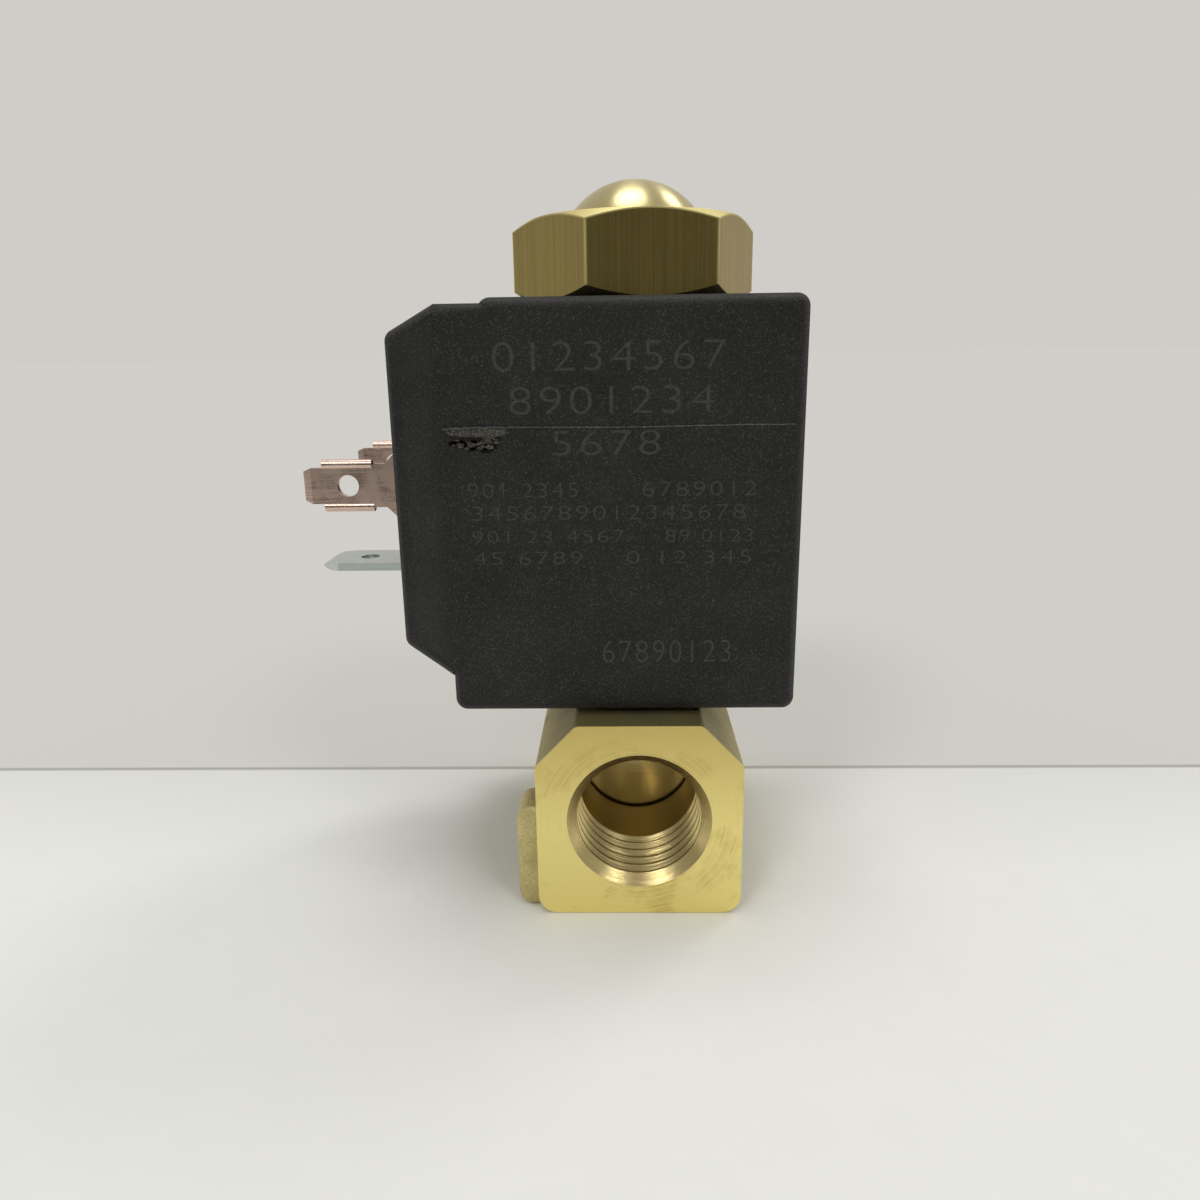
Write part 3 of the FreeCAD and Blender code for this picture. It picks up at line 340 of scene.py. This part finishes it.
def paper_floor():
    """Matt white card, lit from above. Behind the part a second, slightly greyer and warmer card begins."""
    material, tree, shader, place = new_finish("paper_floor", "#e6e6e2", 0, 0.9)
    shader.inputs["Specular IOR Level"].default_value = 0
    axes = add(tree, "ShaderNodeSeparateXYZ", {0: place})
    behind = add(tree, "ShaderNodeMapRange",
                 {"Value": axes.outputs["Y"], "From Min": CARD_SEAM, "From Max": CARD_SEAM + 0.4})
    seam = add(tree, "ShaderNodeMath", {0: axes.outputs["Y"], 1: CARD_SEAM}, operation="SUBTRACT")
    beside = add(tree, "ShaderNodeMath", {0: seam}, operation="ABSOLUTE")
    gap = add(tree, "ShaderNodeMapRange", {"Value": beside, "From Min": 0.6, "From Max": 0.1})
    fibre = add(tree, "ShaderNodeTexNoise", {"Vector": place, "Scale": 0.25, "Detail": 4})
    near = add(tree, "ShaderNodeMix", {0: fibre.outputs["Fac"], 6: linear("#f3f3ef"), 7: linear("#efefeb")},
               data_type="RGBA")
    # Painted shade: the near card is coloured a little darker towards the back
    receding = add(tree, "ShaderNodeMapRange", {"Value": axes.outputs["Y"], "From Min": -10, "From Max": 14})
    nearer = add(tree, "ShaderNodeMix", {0: receding, 6: near, 7: linear("#e3e3df")}, data_type="RGBA")
    cards = add(tree, "ShaderNodeMix", {0: behind, 6: nearer, 7: linear("#d7d5d1")}, data_type="RGBA")
    colour = add(tree, "ShaderNodeMix", {0: gap, 6: cards, 7: linear("#adaca6")}, data_type="RGBA")
    join(tree, shader, Base_Color=colour)
    return material


FINISHES = {
    "forged_brass": forged_brass(),
    "drawn_brass": drawn_brass(),
    "case_moulding": case_moulding("case_moulding", "#070708", "#21211f", "#41413f"),
    # Where the skin tore in the mould the glass stands out: rougher, greyer, full of specks
    "torn_moulding": case_moulding("torn_moulding", "#1f1e1c", "#4b4942", "#857f72"),
    # Deep in the tear no light comes back
    "void_moulding": case_moulding("void_moulding", "#040404", "#12110f", "#2e2c28"),
    # The thin edge of the flash catches the light and is worn pale
    "flash_edge": case_moulding("flash_edge", "#262625", "#5e5e5b", "#94948f"),
    "laser_mark": laser_mark(),
    "wound_copper": wound_copper(),
    # Tin over brass strip: pale, slightly pink where the brass warms it, lines along the blade
    "tinned_brass": rolled_metal("tinned_brass", "#c2a597", "#e6cebf", 0.27, (0.05, 1, 1)),
    # Zinc over steel strip: cool grey green, duller than tin
    "zinc_steel": rolled_metal("zinc_steel", "#b3beb6", "#d8dfd8", 0.36, (0.05, 1, 1)),
    # Free cutting brass, turned: clean yellow with rings about its axis
    "turned_brass": rolled_metal("turned_brass", "#c9a85a", "#e2c67e", 0.25, (0.1, 0.1, 1)),
    # Drawn stainless tube: grey, with lines along its length
    "stainless_tube": rolled_metal("stainless_tube", "#9d9d9b", "#c4c4c1", 0.3, (1, 1, 0.03)),
    # Ferritic stainless, turned: grey, with rings about its axis
    "turned_stainless": rolled_metal("turned_stainless", "#929391", "#bcbcb9", 0.28, (0.1, 0.1, 1)),
    # Drawn spring wire: darker, slightly blue from tempering
    "spring_wire": rolled_metal("spring_wire", "#6d7076", "#a3a6ab", 0.3, (0.3, 0.3, 1)),
    # Bare copper, turned or drawn: red brown with a soft gloss
    "bare_copper": rolled_metal("bare_copper", "#a8582f", "#d0865a", 0.32, (0.3, 0.3, 1)),
    # Nitrile rubber from a polished tool: black, soft edged sheen
    "nitrile_rubber": moulded("nitrile_rubber", "#17181a", "#222325", 0.55, 4),
    # Fluoro rubber disc: dark red brown, matt
    "seal_rubber": moulded("seal_rubber", "#4a201a", "#633028", 0.6, 4),
    # Unfilled nylon spool: warm white, slightly glossy
    "natural_nylon": moulded("natural_nylon", "#d8d1bd", "#e6e0d0", 0.4, 3),
    # Polyester tape: strong yellow, glossy film
    "yellow_tape": moulded("yellow_tape", "#c99a1e", "#ddb338", 0.3, 2),
}

NODE_FINISH = {
    "valve_body": "forged_brass",
    "cap_nut": "drawn_brass",
    "coil_overmould": "case_moulding",
    "line_terminal_front": "tinned_brass",
    "line_terminal_rear": "tinned_brass",
    "earth_terminal": "zinc_steel",
    "earth_rivet": "zinc_steel",
    "yoke_frame": "zinc_steel",
    "lower_pole_sleeve": "zinc_steel",
    "upper_pole_sleeve": "zinc_steel",
    "tube_base_nut": "turned_brass",
    "plug_insert": "turned_brass",
    "armature_tube": "stainless_tube",
    "fixed_core": "turned_stainless",
    "plunger": "turned_stainless",
    "shading_ring": "bare_copper",
    "lead_wire_front": "bare_copper",
    "lead_wire_rear": "bare_copper",
    "winding": "wound_copper",
    "winding_tape": "yellow_tape",
    "bobbin": "natural_nylon",
    "body_o_ring": "nitrile_rubber",
    "nut_o_ring": "nitrile_rubber",
    "coil_gasket": "nitrile_rubber",
    "plunger_seal": "seal_rubber",
    "spring_washer": "spring_wire",
    "return_spring": "spring_wire",
}


def dress(piece, finish):
    piece.data.materials.clear()
    piece.data.materials.append(FINISHES[finish])


def new_piece(name, mesh, finish, body):
    """A shown piece that rides on a body and takes the named finish."""
    piece = bpy.data.objects.new(name, mesh)
    bpy.context.scene.collection.objects.link(piece)
    dress(piece, finish)
    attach(piece, body)
    return piece


for node_name, finish_name in NODE_FINISH.items():
    dress(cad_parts[node_name], finish_name)


def spring_piece():
    """The return spring as a helix of round wire, shown in place of the part's own spring."""
    low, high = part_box("return_spring")
    wire = 0.3 * MM
    mean = 2.2 * MM
    turns = 7.5
    steps = 240
    sides = 10
    start = low.z + wire
    rise = high.z - low.z - 2 * wire
    mesh = bmesh.new()
    rings = []
    for step in range(steps + 1):
        share = step / steps
        angle = 2 * math.pi * turns * share
        outward = Vector((math.cos(angle), math.sin(angle), 0))
        centre = outward * mean + Vector((0, 0, start + rise * share))
        ring = []
        for corner in range(sides):
            around = 2 * math.pi * corner / sides
            upward = Vector((0, 0, wire * math.sin(around)))
            ring.append(mesh.verts.new(centre + outward * wire * math.cos(around) + upward))
        rings.append(ring)
    for ring, following in zip(rings, rings[1:]):
        for corner in range(sides):
            beside = (corner + 1) % sides
            mesh.faces.new((ring[corner], following[corner], following[beside], ring[beside]))
    mesh.faces.new(rings[0])
    mesh.faces.new(reversed(rings[-1]))
    bmesh.ops.recalc_face_normals(mesh, faces=mesh.faces)
    made = bpy.data.meshes.new("return_spring_wire")
    mesh.to_mesh(made)
    mesh.free()
    for face in made.polygons:
        face.use_smooth = True
    piece = new_piece("return_spring_wire", made, "spring_wire", "valve")
    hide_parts("return_spring")
    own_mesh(piece)


# Generic marks on the coil's face: rows of plain running digits
MARK_ROWS = [
    # from X, to X, middle Z, digit height, digits
    (-12.1, 7.3, 51.0, 2.4, "01234567"),
    (-10.8, 6.4, 47.4, 2.3, "8901234"),
    (-7.3, 1.9, 43.85, 2.1, "5678"),
    (-14.7, -5.2, 39.85, 1.25, "901 2345"),
    (0.4, 10.2, 39.85, 1.25, "6789012"),
    (-14.4, 9.3, 37.85, 1.25, "3456789012345678"),
    (-14.5, -1.2, 35.75, 1.1, "901 23 4567"),
    (2.4, 10.0, 35.75, 1.1, "89 0123"),
    (-14.5, -4.9, 33.85, 1.15, "45 6789"),
    (-1.0, 9.9, 33.85, 1.15, "0 12 345"),
    (-3.2, 8.3, 25.15, 2.1, "67890123"),
]


# A digit's height as a share of the font's size, and how far the marks stand out of the face, in mm
DIGIT_SHARE = 0.7
MARK_PROUD = 0.004


def mark_row(index, left, right, height, size, digits):
    letters = bpy.data.curves.new(f"mark_row_{index}", "FONT")
    letters.body = digits
    letters.align_x = "CENTER"
    letters.align_y = "CENTER"
    letters.size = size * MM / DIGIT_SHARE
    letters.space_character = 1.15
    letters.extrude = MARK_PROUD * MM
    letters.offset = -0.02 * size * MM
    shaped = bpy.data.objects.new("letters", letters)
    bpy.context.scene.collection.objects.link(shaped)
    bpy.context.view_layer.update()
    mesh = bpy.data.meshes.new_from_object(shaped.evaluated_get(bpy.context.evaluated_depsgraph_get()))
    bpy.data.objects.remove(shaped)
    across = [v.co.x for v in mesh.vertices]
    upward = [v.co.y for v in mesh.vertices]
    centre = Matrix.Translation((-(min(across) + max(across)) / 2, -(min(upward) + max(upward)) / 2, 0))
    stretch = Matrix.Diagonal(((right - left) * MM / (max(across) - min(across)),
                               size * MM / (max(upward) - min(upward)), 1, 1))
    upright = Matrix.Rotation(math.radians(90), 4, "X")
    put = Matrix.Translation(((left + right) / 2 * MM, (COIL_FRONT - MARK_PROUD) * MM, height * MM))
    mesh.transform(put @ upright @ stretch @ centre)
    new_piece(f"mark_row_{index}", mesh, "laser_mark", "coil")


def flash_line():
    """The seam where the mould's halves met: a thin ragged ridge across the face, lifted at its left
    end where the skin tore."""
    chance = random.Random(7)
    mesh = bmesh.new()
    sections = []
    left, right, steps = -16.6, COIL_RIGHT - 1.0, 150
    for step in range(steps + 1):
        share = step / steps
        x = left + (right - left) * share
        torn = max(0, 1 - share / 0.25)
        height = FLASH_HEIGHT + 0.05 * math.sin(9 * share) + chance.uniform(-0.02, 0.02) * (1 + 3 * torn)
        half = 0.045 + 0.05 * torn + chance.uniform(0, 0.02)
        proud = 0.05 + 0.14 * torn + chance.uniform(0, 0.02)
        front = COIL_FRONT
        sections.append([mesh.verts.new(Vector((x, y, z)) * MM) for y, z in (
            (front + 0.02, height - half), (front - proud, height - half * 0.3),
            (front - proud * 0.9, height + half * 0.5), (front + 0.02, height + half))])
    for one, other in zip(sections, sections[1:]):
        for corner in range(4):
            beside = (corner + 1) % 4
            mesh.faces.new((one[corner], other[corner], other[beside], one[beside]))
    mesh.faces.new(sections[0])
    mesh.faces.new(reversed(sections[-1]))
    bmesh.ops.recalc_face_normals(mesh, faces=mesh.faces)
    made = bpy.data.meshes.new("flash_line")
    mesh.to_mesh(made)
    mesh.free()
    new_piece("flash_line", made, "flash_edge", "coil")


def lump(mesh, chance, centre, size, jitter):
    """One ragged blob, added to mesh: a ball squeezed to size and jogged about."""
    ball = bmesh.ops.create_icosphere(mesh, subdivisions=3, radius=1)
    for vertex in ball["verts"]:
        swell = 1 + chance.uniform(-jitter, jitter)
        vertex.co = Vector(centre[i] + vertex.co[i] * size[i] * swell for i in range(3)) * MM


def blob_object(name, blobs, jitter, seed):
    chance = random.Random(seed)
    mesh = bmesh.new()
    for centre, size in blobs:
        lump(mesh, chance, centre, size, jitter)
    made = bpy.data.meshes.new(name)
    mesh.to_mesh(made)
    mesh.free()
    return made


# The void under the seam, as blobs taken out of the case: centre and half size
VOID_BLOBS = [
    ((-15.3, -0.1, 43.95), (0.95, 0.8, 0.38)),
    ((-14.2, -0.1, 43.72), (1.05, 1.0, 0.5)),
    ((-12.9, -0.1, 43.68), (0.8, 0.8, 0.58)),
    ((-12.15, -0.1, 43.85), (0.45, 0.6, 0.45)),
    ((-13.6, -0.05, 44.3), (2.3, 0.3, 0.32)),
]
# Thin skin that lifted above the void
LIFTED_BLOBS = [
    ((-14.6, 0.0, 44.85), (1.4, 0.035, 0.34)),
    ((-12.7, 0.0, 44.8), (1.5, 0.035, 0.4)),
]


def crumb_blobs():
    """Grains of torn moulding that still cling to the back of the void."""
    chance = random.Random(11)
    blobs = []
    for _ in range(46):
        size = chance.uniform(0.07, 0.2)
        centre = (chance.uniform(-16.0, -11.9), chance.uniform(0.18, 0.42), chance.uniform(43.35, 44.3))
        blobs.append((centre, (size * 1.3, size, size * 0.8)))
    return blobs


def sharpen_rims(mesh):
    """Keeps the shading of one finish from bleeding into the next across their shared edge."""
    finish_of_edge = {}
    for face in mesh.polygons:
        for key in face.edge_keys:
            finish_of_edge.setdefault(key, set()).add(face.material_index)
    rims = {key for key, kinds in finish_of_edge.items() if len(kinds) > 1}
    for edge in mesh.edges:
        if tuple(sorted(edge.vertices)) in rims:
            edge.use_edge_sharp = True


def torn_case():
    """The overmould with the ragged void that the mould left just below the seam."""
    source = bmesh.new()
    source.from_mesh(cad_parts["coil_overmould"].data)
    bmesh.ops.remove_doubles(source, verts=source.verts, dist=1e-7)
    whole = bpy.data.meshes.new("coil_case")
    source.to_mesh(whole)
    source.free()
    case = bpy.data.objects.new("coil_case", whole)
    bpy.context.scene.collection.objects.link(case)
    dress(case, "case_moulding")
    at_face = [((x, COIL_FRONT + y, z), size) for (x, y, z), size in VOID_BLOBS]
    cutters = []
    for index, blob in enumerate(at_face):
        cutter = bpy.data.objects.new("void", blob_object("void", [blob], 0.16, 20 + index))
        bpy.context.scene.collection.objects.link(cutter)
        dress(cutter, "void_moulding")
        cutters.append(cutter)
        cut = case.modifiers.new("void", "BOOLEAN")
        cut.operation = "DIFFERENCE"
        cut.solver = "EXACT"
        cut.material_mode = "TRANSFER"
        cut.object = cutter
    bpy.context.view_layer.update()
    torn = bpy.data.meshes.new_from_object(case.evaluated_get(bpy.context.evaluated_depsgraph_get()))
    for extra in cutters + [case]:
        bpy.data.objects.remove(extra)
    for face in torn.polygons:
        face.use_smooth = True
    torn.set_sharp_from_angle(angle=math.radians(25))
    sharpen_rims(torn)
    piece = bpy.data.objects.new("coil_case", torn)
    bpy.context.scene.collection.objects.link(piece)
    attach(piece, "coil")
    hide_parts("coil_overmould")
    crumbs = [((x, COIL_FRONT + y, z), size) for (x, y, z), size in LIFTED_BLOBS + crumb_blobs()]
    new_piece("torn_crumbs", blob_object("torn_crumbs", crumbs, 0.3, 5), "torn_moulding", "coil")


def studio():
    card = bpy.data.meshes.new("floor_card")
    corners = [(-6, -0.17), (6, -0.17), (6, 12), (-6, 12)]
    card.from_pydata([(x, y, -0.00005) for x, y in corners], [], [(0, 1, 2, 3)])
    floor = bpy.data.objects.new("floor_card", card)
    bpy.context.scene.collection.objects.link(floor)
    card.materials.append(paper_floor())

    def lamp(name, strength, spread, towards):
        light = bpy.data.lights.new(name, "SUN")
        light.energy = strength
        light.angle = math.radians(spread)
        placed = bpy.data.objects.new(name, light)
        bpy.context.scene.collection.objects.link(placed)
        placed.rotation_mode = "QUATERNION"
        placed.rotation_quaternion = Vector(towards).to_track_quat("Z", "Y")

    lamp("ceiling_light", 0.9, 28, (-0.06, 0.12, 0.99))
    lamp("right_ceiling_light", 0.3, 14, (0.46, 0.43, 0.78))
    lamp("front_left_light", 0.5, 16, (-0.35, -0.65, 0.67))
    lamp("front_right_light", 0.3, 16, (0.45, -0.6, 0.66))

    world = bpy.data.worlds.new("studio")
    world.use_nodes = True
    bpy.context.scene.world = world
    tree = world.node_tree
    back = tree.nodes["Background"]
    sky = add(tree, "ShaderNodeTexCoord")
    axes = add(tree, "ShaderNodeSeparateXYZ", {0: sky.outputs["Generated"]})
    above = add(tree, "ShaderNodeMapRange", {"Value": axes.outputs["Z"], "From Min": 0.1, "From Max": 0.85,
                                             "To Min": 0.0, "To Max": 0.22}, interpolation_type="SMOOTHSTEP")
    behind = add(tree, "ShaderNodeMapRange",
                 {"Value": axes.outputs["Y"], "From Min": -0.6, "From Max": 0.5,
                  "To Min": 0.12, "To Max": 0.28},
                 interpolation_type="SMOOTHSTEP")
    left = add(tree, "ShaderNodeMapRange", {"Value": axes.outputs["X"], "From Min": -0.5, "From Max": -0.9,
                                            "To Min": 0.0, "To Max": 0.15}, interpolation_type="SMOOTHSTEP")
    right = add(tree, "ShaderNodeMapRange", {"Value": axes.outputs["X"], "From Min": 0.4, "From Max": 0.95,
                                             "To Min": 0.0, "To Max": 0.25}, interpolation_type="SMOOTHSTEP")
    sides = add(tree, "ShaderNodeMath", {0: left, 1: right}, operation="ADD")
    walls = add(tree, "ShaderNodeMath", {0: behind, 1: sides}, operation="ADD")
    room = add(tree, "ShaderNodeMath", {0: above, 1: walls}, operation="ADD")
    warm = add(tree, "ShaderNodeMix", {0: 1.0, 6: linear("#fffdf8"), 7: room}, data_type="RGBA",
               blend_type="MULTIPLY")
    # The pale wall shows to the camera, and in metal and clear pieces wherever they mirror what is behind
    path = add(tree, "ShaderNodeLightPath")
    mirrored = add(tree, "ShaderNodeMath",
                   {0: path.outputs["Is Glossy Ray"], 1: path.outputs["Is Transmission Ray"]},
                   operation="MAXIMUM")
    wall_side = add(tree, "ShaderNodeMapRange",
                    {"Value": axes.outputs["Y"], "From Min": 0.2, "From Max": 0.9})
    on_wall = add(tree, "ShaderNodeMath", {0: mirrored, 1: wall_side}, operation="MULTIPLY")
    shown = add(tree, "ShaderNodeMath", {0: path.outputs["Is Camera Ray"], 1: on_wall}, operation="MAXIMUM")
    seen = add(tree, "ShaderNodeMix", {0: shown, 6: warm, 7: linear("#d0cdc9")}, data_type="RGBA")
    tree.links.new(next(o for o in seen.outputs if o.enabled), back.inputs["Color"])


def camera():
    lens = bpy.data.cameras.new("camera")
    lens.lens = 27.258
    lens.sensor_width = 36
    lens.clip_start = 0.005
    lens.clip_end = 40
    placed = bpy.data.objects.new("camera", lens)
    bpy.context.scene.collection.objects.link(placed)
    yaw, pitch, roll = (math.radians(a) for a in (1.509, 15.284, -0.83))
    turn = Matrix.Rotation(yaw, 4, "Z") @ Matrix.Rotation(math.radians(90) - pitch, 4, "X")
    place = Matrix.Translation((-1.343 * MM, -92.317 * MM, 51.317 * MM))
    placed.matrix_world = place @ turn @ Matrix.Rotation(roll, 4, "Z")
    bpy.context.scene.camera = placed


spring_piece()
torn_case()
flash_line()
for row_index, row in enumerate(MARK_ROWS):
    mark_row(row_index, *row)
studio()
camera()
bpy.context.scene.view_settings.view_transform = "Standard"
